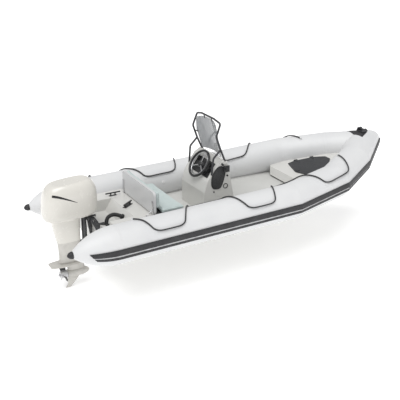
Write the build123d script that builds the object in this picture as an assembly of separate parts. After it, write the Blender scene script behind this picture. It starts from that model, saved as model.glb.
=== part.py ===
from build123d import *
import math
import os

# A rigid-hulled inflatable boat with a steering console, a bench and an outboard engine.
# Millimetres. +Z is up, the bow points to -Y, starboard is -X and port is +X.
# The origin lies on the flat underside of the keel pad, on the centre line, amidships.

# ---------------------------------------------------------------- driving dimensions
# Collar: the inflated tube that runs round both sides and meets at the nose.
COLLAR_R = 225.0
COLLAR_SKIN = 2.0
# Centre line of the starboard half, from the cone to the nose: half spread, y, height.
COLLAR_STATIONS = [
    (773.0, 1530.0, 532.0),
    (773.0, -872.0, 576.0),
    (641.0, -1671.0, 652.0),
    (322.0, -2264.0, 738.0),
    (0.0, -2649.0, 795.0),
]
CONE_LENGTH = 500.0
CONE_END_R = 42.0
CAP_LENGTH = 64.0
CAP_TIP_R = 10.0
BAFFLE_AT = 1500.0
STRAKE_UPPER = (-7.8, 9.4)
STRAKE_LOWER = (-21.4, -13.0)
STRAKE_LINE = (-13.0, -7.8)
STRAKE_THICK = 11.0
STRAKE_LINE_THICK = 5.0
STRAKE_LEAD = 370.0
STRAKE_LEAD_LOW = 270.0
ROPE_D = 18.0
ROPE_LIFT = 3.0
ROPE_CREST = 6.0
ROPE_BEND_R = 36.0
PATCH_R = 26.0
PATCH_THICK = 3.0
VALVE_Y = (250.0, -600.0)
VALVE_ANGLE = 168.0

# Hull and deck
KEEL_PAD_HALF = 45.0
KEEL_FLAT_Y = -100.0
TRANSOM_Y = 1450.0
TRANSOM_THICK = 45.0
TRANSOM_TOP = 515.0
HULL_WALL = 9.0
DECK_THICK = 14.0
DECK_Z = 417.0
DECK_RISE = 0.0285
FIT = 0.5

# Bow locker and its lid
LOCKER_AFT_Y = -1390.0
LOCKER_Z = 575.0
LOCKER_RISE = 0.2
LOCKER_WALL = 12.0
LOCKER_FLOOR = 480.0
LID_THICK = 14.0
LID_HALF_AFT = 275.0
LID_HALF_FWD = 160.0
LID_AFT_Y = -1600.0
LID_CROWN = 80.0
LID_FWD_Y = -1940.0
LID_TIP_Y = -2050.0

# Console, dash, helm and screen
CONSOLE_HALF = 300.0
CONSOLE_WALL = 8.0
CONSOLE_SIDE = [
    (104.0, 700.0), (62.0, 845.0), (-85.0, 1055.0), (-165.0, 1100.0), (-222.0, 1080.0),
    (-250.0, 960.0), (-328.0, 560.0), (-348.0, 480.0),
]
WHEEL_X = 5.0
WHEEL_UP = 25.0
WHEEL_R = 190.0
WHEEL_GRIP_R = 15.0
WHEEL_RING_R = 150.0
WHEEL_RING_WIRE = 8.0
WHEEL_DISH = 38.0
GAUGE_R = 28.0
RAIL_R = 12.5
SCREEN_THICK = 5.0
LEVER_PIN_R = 6.0

# Bench
SEAT_HALF = 455.0
SEAT_FRONT_Y = 450.0
SEAT_BACK_Y = 850.0
SEAT_BASE_TOP = 598.0
SEAT_BOARD = 12.0
SEAT_CUSHION = 66.0
SEAT_HINGE_Y = 466.0
BACK_TOP = 915.0
BACK_LOW = 690.0
BACK_SHELL = 30.0
BACK_CUSHION = 62.0

# Stern deck and splash well
LEDGE_Z = 618.0
HANDLE_TURN = 35.0
WELL_HALF = 330.0
WELL_FLOOR = 470.0
WELL_WALL = 8.0
BRIDGE_Y = 1000.0

# Outboard engine
TILT_Y = 1535.0
TILT_Z = 600.0
TILT_TUBE_R = 14.0
TILT_BORE_R = 8.0
STEER_Y = 1600.0
KINGPIN_R = 15.0
SWIVEL_R = 32.0
RUNNING_GAP = 0.05
ARM_Z = 640.0
ARM_THICK = 12.0
ARM_REACH = 150.0
PLATE_GAP = 130.0
PLATE_THICK = 14.0
PAN_Z = 672.0
COWL_SPLIT = 700.0
COWL_WALL = 6.0
PLATE_Z = 36.0
SHAFT_Z = -105.0
TORPEDO_R = 52.0
TORPEDO_END_Y = 1852.0
PROP_R = 128.0
PROP_HUB_R = 46.0
PROP_HUB_L = 86.0
PROP_SHAFT_R = 9.0
HOSE_X = -120.0
HOSE_R = 25.0
CABLE_X = -254.0

os.makedirs("parts", exist_ok=True)


# ---------------------------------------------------------------- helpers
def save(name, *shapes):
    """Write one node: every solid of the given shapes, side by side."""
    solids = []
    for shape in shapes:
        solids.extend(shape.solids())
    whole = solids[0] if len(solids) == 1 else Compound(children=solids)
    export_step(whole, f"parts/{name}.step")
    print(f"{name}: {len(solids)} solids, {sum(s.volume for s in solids) / 1e6:.3f} litres")


def biggest(shape):
    return max(shape.solids(), key=lambda solid: solid.volume)


def mirrored(shape):
    return mirror(shape, about=Plane.YZ)


def both(shape):
    """A starboard shape and its port twin."""
    return [shape, mirrored(shape)]


def block(x0, x1, y0, y1, z0, z1):
    centre = Pos((x0 + x1) / 2, (y0 + y1) / 2, (z0 + z1) / 2)
    return centre * Box(x1 - x0, y1 - y0, z1 - z0)


def prism_x(points, x0, x1):
    """A side-view outline of (y, z) points, from x0 to x1."""
    outline = Polyline(*[(x0, y, z) for y, z in points], close=True)
    return extrude(make_face(outline), amount=x1 - x0, dir=(1, 0, 0))


def prism_y(points, y0, y1):
    """A section of (x, z) points, from y0 to y1."""
    outline = Polyline(*[(x, y0, z) for x, z in points], close=True)
    return extrude(make_face(outline), amount=y1 - y0, dir=(0, 1, 0))


def prism_z(points, z0, z1):
    """A plan-view outline of (x, y) points, from z0 to z1."""
    outline = Polyline(*[(x, y, z0) for x, y in points], close=True)
    return extrude(make_face(outline), amount=z1 - z0, dir=(0, 0, 1))


def rod(start, end, radius):
    """A round bar between two points."""
    start, end = Vector(*start), Vector(*end)
    along = end - start
    plane = Plane(origin=start, z_dir=along)
    return extrude(plane * Circle(radius), amount=along.length)


def ring(start, end, radius, bore):
    return rod(start, end, radius) - rod(start, end, bore)


def route_radii(points):
    """The largest even bend at each corner of a hose or rope."""
    corners = [Vector(*p) for p in points]
    radii = []
    for before, here, after in zip(corners, corners[1:], corners[2:]):
        back, ahead = here - before, after - here
        turn = math.radians(back.get_angle(ahead))
        radii.append(0.45 * min(back.length, ahead.length) / math.tan(turn / 2))
    return radii


def tube_along(points, radius, radii=None):
    """A round tube along straight runs joined by tangent arcs."""
    path = FilletPolyline(*points, radius=radii or route_radii(points))
    start = Plane(origin=path @ 0, z_dir=path % 0)
    return sweep(start * Circle(radius), path=path)


# ---------------------------------------------------------------- collar geometry
def station(index):
    half, y, z = COLLAR_STATIONS[index]
    return Vector(-half, y, z)


def along(index):
    return (station(index + 1) - station(index)).normalized()


def mitre(index):
    """The plane where gore index - 1 meets gore index, facing the nose."""
    if index == len(COLLAR_STATIONS) - 1:
        return Plane(origin=station(index), z_dir=(1, 0, 0))
    return Plane(origin=station(index), z_dir=along(index - 1) + along(index))


def gore_plane(index, back=0.0):
    """A plane across the tube: x points outboard, y points down, z towards the nose."""
    direction = along(index)
    outboard = direction.cross(Vector(0, 0, 1))
    return Plane(origin=station(index) - direction * back, x_dir=outboard, z_dir=direction)


def sector(r_in, r_out, low, high):
    """The part of a ring between two angles above the outboard side."""
    turn = math.radians
    middle = (low + high) / 2

    def at(radius, angle):
        return (radius * math.cos(turn(angle)), -radius * math.sin(turn(angle)))

    outer = ThreePointArc(at(r_out, low), at(r_out, middle), at(r_out, high))
    inner = ThreePointArc(at(r_in, high), at(r_in, middle), at(r_in, low))
    sides = Line(at(r_out, high), at(r_in, high)) + Line(at(r_in, low), at(r_out, low))
    return make_face(outer + inner + sides)


def gore(index, section):
    """A section pushed along one gore and cut at its mitres."""
    reach = 2.2 * COLLAR_R
    length = (station(index + 1) - station(index)).length
    back = reach if index else 0.0
    solid = extrude(gore_plane(index, back) * section, amount=length + back + reach)
    if index:
        solid = split(solid, bisect_by=mitre(index), keep=Keep.TOP)
    return split(solid, bisect_by=mitre(index + 1), keep=Keep.BOTTOM)


def cone(radius, length, end_r):
    """The tapering stern end, built on the first station and facing aft."""
    drop = radius - end_r
    sweep_r = (length**2 + drop**2) / (2 * drop)
    half = length / 2
    mid_r = radius - (sweep_r - math.sqrt(sweep_r**2 - half**2))
    profile = (
        Line((0, 0), (radius, 0))
        + ThreePointArc((radius, 0), (mid_r, half), (end_r, length))
        + Line((end_r, length), (0, length))
        + Line((0, length), (0, 0))
    )
    solid = revolve(make_face(Plane.XZ * profile), Axis.Z)
    plane = Plane(origin=station(0), z_dir=-along(0))
    return plane.location * solid


def collar_core(radius):
    """The whole starboard collar as one body, used to trim what lies against it."""
    core = cone(radius, CONE_LENGTH, CONE_END_R + radius - COLLAR_R)
    for index in range(4):
        core += gore(index, Circle(radius))
    return core


def on_collar(index, distance, angle, lift):
    """A point on gore index, that far from its station, at that angle above outboard."""
    plane = gore_plane(index)
    radius = COLLAR_R + lift
    turn = math.radians(angle)
    outboard = plane.x_dir * (radius * math.cos(turn))
    upward = plane.y_dir * (-radius * math.sin(turn))
    return plane.origin + plane.z_dir * distance + outboard + upward


def from_y(y):
    """Distance along the straight gore at a given y."""
    return (COLLAR_STATIONS[0][1] - y) / abs(along(0).Y)


def collar_skins():
    skin = Circle(COLLAR_R) - Circle(COLLAR_R - COLLAR_SKIN)
    outer = cone(COLLAR_R, CONE_LENGTH, CONE_END_R)
    inner = cone(COLLAR_R - COLLAR_SKIN, CONE_LENGTH - COLLAR_SKIN, CONE_END_R - COLLAR_SKIN)
    aft = (outer - inner) + gore(0, skin)
    bow = [gore(index, skin) for index in (1, 2, 3)]
    save("collar_aft_starboard", aft)
    save("collar_aft_port", mirrored(aft))
    save("collar_bow_starboard", *bow)
    save("collar_bow_port", *[mirrored(part) for part in bow])


def collar_baffles():
    disc = Circle(COLLAR_R - COLLAR_SKIN)
    mid = extrude(gore_plane(0, -BAFFLE_AT) * disc, amount=COLLAR_SKIN)
    bow = extrude(gore_plane(1, -COLLAR_R) * disc, amount=COLLAR_SKIN)
    save("collar_baffles", *both(mid), *both(bow))


def cone_caps():
    plane = Plane(origin=station(0) - along(0) * (CONE_LENGTH + 0.1), z_dir=-along(0))
    length = CAP_LENGTH
    outer = (
        Line((0, 0), (CONE_END_R, 0))
        + ThreePointArc((CONE_END_R, 0), (CONE_END_R * 0.82, length * 0.6), (CAP_TIP_R, length))
        + Line((CAP_TIP_R, length), (0, length))
        + Line((0, length), (0, 0))
    )
    cap = revolve(make_face(Plane.XZ * outer), Axis.Z)
    save("cone_caps", *both(plane.location * cap))


def cone_band(angles, thick):
    """The start of a strake, wrapped on to the cone and cut on a slant."""
    length, drop = CONE_LENGTH, COLLAR_R - CONE_END_R
    curve_r = (length**2 + drop**2) / (2 * drop)

    def at(distance, lift):
        return COLLAR_R + lift - (curve_r - math.sqrt(curve_r**2 - distance**2))

    reach = STRAKE_LEAD
    profile = (
        Line((COLLAR_R, 0), (COLLAR_R + thick, 0))
        + ThreePointArc((at(0, thick), 0), (at(reach / 2, thick), reach / 2), (at(reach, thick), reach))
        + Line((at(reach, thick), reach), (at(reach, 0), reach))
        + ThreePointArc((at(reach, 0), reach), (at(reach / 2, 0), reach / 2), (COLLAR_R, 0))
    )
    band = revolve(make_face(Plane.XZ * profile), Axis.Z, revolution_arc=angles[1] - angles[0])
    outboard = along(0).cross(Vector(0, 0, 1))
    place = Plane(origin=station(0), x_dir=outboard, z_dir=-along(0)).location
    band = place * (Rot(0, 0, angles[0]) * band)
    low, high = STRAKE_LOWER[0], STRAKE_UPPER[1]
    slant = (STRAKE_LEAD - STRAKE_LEAD_LOW) / (COLLAR_R * math.radians(high - low))
    middle = (STRAKE_LEAD + STRAKE_LEAD_LOW) / 2
    centre = on_collar(0, -middle, (low + high) / 2, 0)
    cut = Plane(origin=centre, z_dir=Vector(0, 1, 0) - Vector(0, 0, 1) * slant)
    return split(band, bisect_by=cut, keep=Keep.BOTTOM)


def strake(name, angles, thick):
    section = sector(COLLAR_R, COLLAR_R + thick, *angles)
    band = cone_band(angles, thick)
    for index in range(4):
        band += gore(index, section)
    save(name, *both(band))


# Rope stops along the straight gore: (y, angle) pairs; it weaves over the tube's crown.
ROPE_AFT = [
    (1270, 108), (1206, 88), (1157, 64), (1098, 35), (918, 34), (735, 35), (685, 61),
    (605, 95), (536, 118), (487, 141), (270, 140), (55, 140), (5, 116), (-39, 84),
    (-89, 58), (-150, 34), (-330, 33), (-512, 34), (-550, 60), (-610, 95), (-660, 120),
    (-715, 143),
]
# The same on the bow gores: (gore, distance, angle).
ROPE_BOW = [
    (1, 60, 141), (1, 215, 139), (1, 290, 116), (1, 350, 92), (1, 410, 65), (1, 470, 36),
    (1, 690, 39), (1, 835, 41), (2, 85, 43), (2, 165, 66), (2, 260, 92), (2, 330, 112),
]
PATCH_STOPS_AFT = [0, 3, 5, 9, 11, 15, 17, 21]
PATCH_STOPS_BOW = [1, 5, 8, 11]


def rope_points():
    """The route stands a little prouder between its pads, where its runs cut the curve."""
    low = ROPE_D / 2 + PATCH_THICK + ROPE_LIFT
    aft, bow = [], []
    for place, (y, angle) in enumerate(ROPE_AFT):
        lift = low if place in PATCH_STOPS_AFT else low + ROPE_CREST
        aft.append(on_collar(0, from_y(y), angle, lift))
    for place, stop in enumerate(ROPE_BOW):
        lift = low if place in PATCH_STOPS_BOW else low + ROPE_CREST
        bow.append(on_collar(*stop, lift))
    return aft + bow


def lifelines():
    points = rope_points()
    radii = [min(ROPE_BEND_R * 6, radius) for radius in route_radii(points)]
    rope = tube_along(points, ROPE_D / 2, radii)
    save("lifelines", *both(rope))
    print("  rope bends", round(min(radii)), "to", round(max(radii)))
    return rope


def skin_plane(index, distance, angle, lift=0.0):
    """Touches the collar at a point, facing straight out of it."""
    foot = on_collar(index, distance, angle, lift)
    return Plane(origin=foot, z_dir=foot - on_collar(index, distance, angle, -COLLAR_R))


def lifeline_patches(rope):
    """Round pads bonded to the collar; the first and last hold the rope's ends."""
    stops = [(0, from_y(ROPE_AFT[i][0]), ROPE_AFT[i][1]) for i in PATCH_STOPS_AFT]
    stops += [ROPE_BOW[i] for i in PATCH_STOPS_BOW]
    patches = []
    for index, distance, angle in stops:
        disc = extrude(skin_plane(index, distance, angle, -6) * Circle(PATCH_R), amount=20)
        shell = gore(index, Circle(COLLAR_R + PATCH_THICK) - Circle(COLLAR_R))
        pad = shell & disc
        if (index, distance, angle) in (stops[0], stops[-1]):
            height = PATCH_THICK + ROPE_LIFT + ROPE_D + 2
            boss = extrude(skin_plane(index, distance, angle, PATCH_THICK - 1) * Circle(ROPE_D * 0.8),
                           amount=height - PATCH_THICK + 1)
            pad += boss
        pad -= rope
        patches.append(max(pad.solids(), key=lambda solid: solid.volume))
    save("lifeline_patches", *patches, *[mirrored(patch) for patch in patches])


def inflation_valves():
    valves = []
    for y in VALVE_Y:
        place = skin_plane(0, from_y(y), VALVE_ANGLE, 0.6).location
        body = place * (Pos(0, 0, 2.5) * Cylinder(22, 5) + Pos(0, 0, 8) * Cylinder(14, 8))
        valves.append(body)
    save("inflation_valves", *valves, *[mirrored(valve) for valve in valves])


def bow_fittings():
    """The wear patch on top of the nose and the fairlead that it carries."""
    thick = 4.0
    outline = [(0, -2500), (165, -2520), (60, -2690), (0, -2760), (-60, -2690), (-165, -2520)]
    column = prism_z(outline, 700, 1100)
    shells = gore(3, sector(COLLAR_R, COLLAR_R + thick, 20, 160))
    patch = shells & column
    save("bow_patch", patch + mirrored(patch))
    seat_z = COLLAR_STATIONS[-1][2] + COLLAR_R + thick
    base = block(-60, 60, -2700, -2600, seat_z - 2, seat_z + 8)
    base -= gore(3, Circle(COLLAR_R + thick)) + mirrored(gore(3, Circle(COLLAR_R + thick)))
    cheek = prism_x(
        [(-2700, seat_z + 8), (-2600, seat_z + 8), (-2618, seat_z + 42), (-2682, seat_z + 42)],
        -60, -44,
    )
    roller_z = seat_z + 26
    pin = rod((-60, -2650, roller_z), (60, -2650, roller_z), 5)
    roller = ring((-43.5, -2650, roller_z), (43.5, -2650, roller_z), 15, 5 + RUNNING_GAP)
    save("bow_fairlead", base + cheek + mirrored(cheek) + pin, roller)


# ---------------------------------------------------------------- hull
def hull_section(y, inset=0.0):
    """Half section points of the hull bottom at y: keel, chine, side."""
    t = min(max((200.0 - y) / 2720.0, 0.0), 1.0)
    rise = min(max((KEEL_FLAT_Y - y) / (KEEL_FLAT_Y + 2520.0), 0.0), 1.0)
    keel = 520.0 * rise**2.83
    chine_half = 600.0 * math.sqrt(max(1.0 - t**3.0, 0.0)) + 28.0
    chine_z = 215.0 + 340.0 * t**1.7
    top_half = chine_half + 88.0 * (1.0 - t)
    top_z = DECK_Z - DECK_THICK - 2.0 + 190.0 * t**1.6
    pad = KEEL_PAD_HALF * (1.0 - 0.7 * t)
    return [
        (pad, keel + inset), (chine_half - inset, chine_z + inset * 1.2),
        (chine_half + 30.0 * (1 - t) - inset, chine_z + 8.0 + inset * 1.2),
        (top_half - inset, top_z), (0.0, top_z),
    ]


def hull_body(inset=0.0, y_aft=TRANSOM_Y):
    rows = [y_aft, 700, KEEL_FLAT_Y, -500, -900, -1250, -1550, -1800, -2020, -2210, -2360, -2470]
    if inset:
        rows = rows[:-1]
    faces = []
    for y in rows:
        half = hull_section(y, inset)[:4]
        points = [(x, y, z) for x, z in half] + [(-x, y, z) for x, z in reversed(half)]
        faces.append(make_face(Polyline(*points, close=True)))
    return loft(faces, ruled=True)


def hull(core):
    """The moulded bottom, open to the deck, with the transom closing its aft end."""
    shell = hull_body() - hull_body(HULL_WALL, TRANSOM_Y - TRANSOM_THICK)
    shell -= core + mirrored(core)
    save("hull_shell", *shell.solids())


def stringers(core):
    """Two fore-and-aft frames and three bulkheads under the deck."""
    gap = 0.3
    inner = hull_body(HULL_WALL + gap, TRANSOM_Y - TRANSOM_THICK - gap)
    length = block(-260, -244, -1200, 1100, 0, 450)
    frames = [length, mirrored(length)]
    for y in (-1180.0, -560.0, 500.0):
        frames.append(block(-243, 243, y, y + 14, 0, 450))
    side = block(-700, -261, 520, 534, 0, 450)
    frames += [side, mirrored(side)]
    lid = prism_x(
        [(-1600, deck_height(-1600) - DECK_THICK - gap), (1200, deck_height(1200) - DECK_THICK - gap),
         (1200, 600), (-1600, 600)],
        -720, 720)
    trimmed = [((frame & inner) - lid) - (core + mirrored(core)) for frame in frames]
    save("hull_frames", *trimmed)


def deck_height(y):
    return DECK_Z - DECK_RISE * y


def deck_solid(extra_half=0.0):
    aft, fore = BRIDGE_Y - 120.0, LOCKER_AFT_Y - 150.0
    top = [(aft, deck_height(aft)), (fore, deck_height(fore))]
    low = [(fore, deck_height(fore) - DECK_THICK), (aft, deck_height(aft) - DECK_THICK)]
    return prism_x(top + low, -700 - extra_half, 700 + extra_half)


def deck(core):
    plate = deck_solid() - (core + mirrored(core))
    save("deck", biggest(plate))


def transom_parts():
    """The engine board on the transom, its drain plug and the towing eyes."""
    board = block(-300, 300, TRANSOM_Y - TRANSOM_THICK, TRANSOM_Y, 402, TRANSOM_TOP)
    save("transom_board", board)
    plug = rod((0, TRANSOM_Y + 0.3, 120), (0, TRANSOM_Y + 8, 120), 22)
    plug += rod((0, TRANSOM_Y + 8, 120), (0, TRANSOM_Y + 20, 120), 11)
    eye = tow_eye((-380.0, TRANSOM_Y + 0.3, 283.0))
    save("transom_fittings", plug, *both(eye))


def tow_eye(foot):
    """A plate with a standing ring, for a shackle along X."""
    x, y, z = foot
    plate = block(x - 25, x + 25, y, y + 6, z - 40, z + 40)
    stem = block(x - 7, x + 7, y + 6, y + 30, z - 18, z + 18)
    eye = rod((x - 7, y + 30, z), (x + 7, y + 30, z), 18)
    return (plate + stem + eye) - rod((x - 8, y + 30, z), (x + 8, y + 30, z), 9)


def bow_eye():
    """The trailer eye on the stem, with its bore along X."""
    foot_y, foot_z = -2325.0, 350.0
    ring_part = rod((-8, foot_y, foot_z), (8, foot_y, foot_z), 22)
    stem = block(-8, 8, foot_y, foot_y + 130, foot_z - 12, foot_z + 30)
    eye = (ring_part + stem) - rod((-9, foot_y, foot_z), (9, foot_y, foot_z), 11)
    save("bow_eye", eye - hull_body())


# ---------------------------------------------------------------- bow locker
def locker_height(y):
    return LOCKER_Z + LOCKER_RISE * (LOCKER_AFT_Y - y)


def lid_outline(grow=0.0):
    half_a, half_f = LID_HALF_AFT + grow, LID_HALF_FWD + grow
    points = [
        (0, LID_AFT_Y + LID_CROWN + grow), (-half_a, LID_AFT_Y + grow),
        (-half_a, LID_AFT_Y - 90), (-half_f, LID_FWD_Y - grow * 0.5), (-55, LID_TIP_Y - grow),
        (55, LID_TIP_Y - grow), (half_f, LID_FWD_Y - grow * 0.5), (half_a, LID_AFT_Y - 90),
        (half_a, LID_AFT_Y + grow),
    ]
    return points


def locker_solid(inset=0.0):
    """The raised bow box: level sides, rounded aft face, top rising to the nose."""
    aft, fore = LOCKER_AFT_Y - inset, -2420.0
    side = prism_x(
        [(aft + 60, 300), (aft + 60, deck_height(aft) - 5), (aft, locker_height(aft) - inset),
         (fore, locker_height(fore) - inset), (fore, 560), (-1700, 300)],
        -700, 700,
    )
    bulge = Pos(0, aft - 620, 300) * Cylinder(760 - inset, 1200, align=(Align.CENTER,) * 3)
    return side & bulge


def bow_locker(core):
    """A closed box moulded against the collar, with the hatch mouth in its top."""
    half = [(x - 2, y) for x, y, _ in COLLAR_STATIONS[1:]]
    within = prism_z([*half, *[(-x, y) for x, y in reversed(half[:-1])]], 250, 1000)
    outer = ((locker_solid() & within) - core) - mirrored(core)
    outer = (outer - hull_body()) - deck_solid()
    keep_out = collar_core(COLLAR_R + LOCKER_WALL)
    inner = ((locker_solid(LOCKER_WALL) & within) - keep_out) - mirrored(keep_out)
    inner -= hull_body() + block(-700, 700, -2500, -1300, 200, LOCKER_FLOOR)
    shell = biggest(outer) - biggest(inner)
    shell -= prism_z(lid_outline(-14), LOCKER_FLOOR, 900)
    save("bow_locker", biggest(shell))


def tilted_slab(outline, low, high):
    """An outline standing on the sloping locker top, between two heights above it."""
    column = prism_z(outline, 300, 1100)
    y0, y1 = -1300.0, -2300.0
    slab = prism_x(
        [(y0, locker_height(y0) + low), (y1, locker_height(y1) + low),
         (y1, locker_height(y1) + high), (y0, locker_height(y0) + high)],
        -500, 500,
    )
    return column & slab


HINGE_OUT = 26.0
HINGE_UP = 14.0
HINGE_KNUCKLE_R = 7.0
HINGE_PIN_R = 3.0
HINGE_SPREAD = 115.0


def hinge_plane():
    """Lies on the locker top at the lid's tapered port edge: x forward, y outboard."""
    aft = Vector(LID_HALF_AFT, LID_AFT_Y - 90, locker_height(LID_AFT_Y - 90))
    fore = Vector(LID_HALF_FWD, LID_FWD_Y, locker_height(LID_FWD_Y))
    return Plane(origin=(aft + fore) / 2, x_dir=fore - aft, z_dir=(0, LOCKER_RISE, 1))


def hatch():
    place = hinge_plane().location
    lid = tilted_slab(lid_outline(10), 0.4, LID_THICK)
    base = None
    bore = HINGE_PIN_R + RUNNING_GAP
    for centre in (-HINGE_SPREAD, HINGE_SPREAD):
        axis = (HINGE_OUT, HINGE_UP)
        eye = rod((centre + 1, *axis), (centre + 25, *axis), HINGE_KNUCKLE_R)
        eye += block(centre + 1, centre + 25, -30, HINGE_OUT, LID_THICK - 2, LID_THICK + 4)
        eye -= rod((centre - 40, *axis), (centre + 40, *axis), bore)
        lid += place * eye
        post = rod((centre - 25, *axis), (centre - 1, *axis), HINGE_KNUCKLE_R)
        post += block(centre - 25, centre - 1, HINGE_OUT - 7, HINGE_OUT + 7, 0.3, HINGE_UP)
        post += block(centre - 25, centre - 1, HINGE_OUT - 7, HINGE_OUT + 30, 0.3, 5)
        post += rod((centre - 25, *axis), (centre + 26, *axis), HINGE_PIN_R)
        base = post if base is None else base + post
    save("hatch_hinges", *(place * base).solids())
    latch_y = LID_AFT_Y + LID_CROWN - 6
    plate = [(-26, latch_y - 40), (26, latch_y - 40), (26, latch_y), (-26, latch_y)]
    save("hatch_lid", biggest(lid), tilted_slab(plate, LID_THICK + 0.2, LID_THICK + 7))


# ---------------------------------------------------------------- console
def console_outline():
    """Side view of the console, deck to crown, with the dash sloping up and forward."""
    y_aft, y_fore = CONSOLE_SIDE[0][0], CONSOLE_SIDE[-1][0] - 6
    return [(y_aft, deck_height(y_aft) + 0.3), *CONSOLE_SIDE, (y_fore, deck_height(y_fore) + 0.3)]


def console_body():
    outer = prism_x(console_outline(), -CONSOLE_HALF, CONSOLE_HALF)
    upright = [edge for edge in outer.edges().filter_by(Axis.X) if edge.center().Z > 560]
    return fillet(upright, 28)


def console():
    outer = console_body()
    side = make_face(Polyline(*[(0, y, z) for y, z in console_outline()], close=True))
    inner_face = offset(side, amount=-CONSOLE_WALL, kind=Kind.INTERSECTION)
    hollow = extrude(inner_face, amount=CONSOLE_HALF - CONSOLE_WALL, both=True, dir=(1, 0, 0))
    opening = block(-220, 220, -255, 60, 380, 450)
    shell = (outer - hollow) - opening
    dash = dash_plane()
    shell -= dash.location * block(-150, 242, -76, 110, -30, 5)
    save("console_shell", shell)


def dash_plane():
    """Lies on the dash: x to starboard, y up the slope, z towards the helm seat."""
    low, high = Vector(0, *CONSOLE_SIDE[1]), Vector(0, *CONSOLE_SIDE[2])
    starboard = Vector(-1, 0, 0)
    return Plane(origin=(low + high) / 2, x_dir=starboard, z_dir=starboard.cross(high - low))


def dash_parts():
    """The instrument panel, its gauges, the switch and the helm box behind the wheel."""
    place = dash_plane().location
    panel = block(-160, 252, -86, 120, 0.3, 6) - block(-152, 244, -78, 112, 3, 7)
    panel -= rod((WHEEL_X, WHEEL_UP, -1), (WHEEL_X, WHEEL_UP, 8), 62.4)
    save("instrument_panel", place * panel)
    gauges = []
    for x, up in ((176, 72), (212, 8), (160, -46), (-120, 80)):
        bezel = rod((x, up, 3.2), (x, up, 15), GAUGE_R) - rod((x, up, 12), (x, up, 16), GAUGE_R - 5)
        gauges.append(place * bezel)
    save("gauges", *gauges)
    helm = rod((WHEEL_X, WHEEL_UP, -72), (WHEEL_X, WHEEL_UP, 3), 62)
    helm += rod((WHEEL_X, WHEEL_UP, 3), (WHEEL_X, WHEEL_UP, 12), 44)
    save("helm_unit", place * helm)


def steering_wheel():
    """A thick grip ring on a lighter ring, with three spokes and a domed hub cap."""
    place = dash_plane().location * Pos(WHEEL_X, WHEEL_UP, 0)
    grip_r, grip_z = WHEEL_R - WHEEL_GRIP_R, WHEEL_DISH + 12
    ring_r, ring_z = WHEEL_RING_R - 4, WHEEL_DISH + 4
    hub_low, hub_high = 12.4, 36.0
    grip = Pos(0, 0, grip_z) * Torus(grip_r, WHEEL_GRIP_R)
    spokes = Pos(0, 0, ring_z) * Torus(ring_r, WHEEL_RING_WIRE)
    spokes += rod((0, 0, hub_low), (0, 0, hub_high), 38)
    for turn in (90, 210, 330):
        spokes += Rot(0, 0, turn) * rod((20, 0, hub_high - 10), (ring_r, 0, ring_z), 8)
        spokes += Rot(0, 0, turn) * rod((ring_r, 0, ring_z), (grip_r, 0, grip_z), 6)
    cap = Pos(0, 0, hub_high + 0.2) * Cone(34, 22, 12, align=(Align.CENTER, Align.CENTER, Align.MIN))
    save("wheel_grip", place * grip, place * (cap - spokes))
    save("wheel_spokes", place * (spokes - grip))


def windscreen():
    """A curved tinted sheet clamped inside a hoop rail that stands on the console."""
    side = CONSOLE_HALF - 2
    half = [(-side + 12, -190, 1093), (-side, -125, 1240), (-side, -62, 1415), (-side + 6, -122, 1572)]
    crown = [(-150, -108, 1604), (150, -108, 1604)]
    route = half + crown + [(-x, y, z) for x, y, z in reversed(half)]
    hoop = tube_along(route, RAIL_R, [40, 50, 34, 60, 60, 34, 50, 40])
    x, y, z = half[0]
    foot = rod((x, y, z - 12), (x, y, z + 3), RAIL_R + 7)
    leg = tube_along([(-side, -122, 1238), (-side, -22, 1140), (-side + 8, -2, 925)], RAIL_R, [50])
    clamp = rod((-side, -89, 1340), (-side + 52, -115, 1340), 7)
    top_clamp = rod((-90, -105, 1606), (-90, -119, 1554), 7)
    for piece in (foot, leg, clamp, top_clamp):
        hoop += piece
        hoop += mirrored(piece)
    sheet_r, bulge, lean = 620.0, 70.0, 11.0
    tall, wide = 226.0, 274.0
    round_plan = Pos(0, sheet_r - bulge, 0)
    curve = round_plan * (Cylinder(sheet_r + SCREEN_THICK, 2 * tall + 20) - Cylinder(sheet_r, 2 * tall + 20))
    outline = prism_y(
        [(-236, -tall), (-wide, 20), (-250, 200), (-150, tall), (150, tall), (250, 200), (wide, 20),
         (236, -tall)],
        -90, 60,
    )
    sheet = Pos(0, -100, 1336) * (Rot(-lean, 0, 0) * (curve & outline))
    save("windscreen", sheet)
    save("windscreen_rail", biggest((hoop - console_body()) - sheet))


def console_fittings():
    face = -CONSOLE_HALF - 0.3
    pocket_side = [
        (-20, 742), (8, 790), (6, 900), (-40, 985), (-120, 1040), (-196, 985), (-196, 925),
        (-140, 742), (-80, 728),
    ]
    pocket = prism_x(pocket_side, face - 26, face)
    save("side_pocket", pocket)
    box = block(face - 44, face - 26.3, -232, -150, 950, 1030)
    box += rod((face - 26.3, -191, 990), (face - 48, -191, 990), 34)
    box += rod((face - 48, -191, 990), (face - 66, -191, 990), LEVER_PIN_R)
    save("control_box", box)
    hub = ring((face - 48.3, -191, 990), (face - 60, -191, 990), 20, LEVER_PIN_R + RUNNING_GAP)
    arm = rod((face - 56, -191, 990), (face - 61, -124, 1062), 7)
    arm -= rod((face - 40, -191, 990), (face - 70, -191, 990), LEVER_PIN_R + RUNNING_GAP)
    lever = hub + arm
    knob = rod((face - 60.9, -124, 1062), (face - 61.5, -109, 1078), 15)
    save("throttle_lever", lever, knob - lever)
    inspection = ring((face, -199, 752), (face - 6, -199, 752), 34, 27)
    key = rod((face, -222, 888), (face - 16, -222, 888), 11)
    dot = rod((face, -30, 700), (face - 9, -30, 700), 9)
    save("console_fittings", inspection, key, dot)


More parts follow.
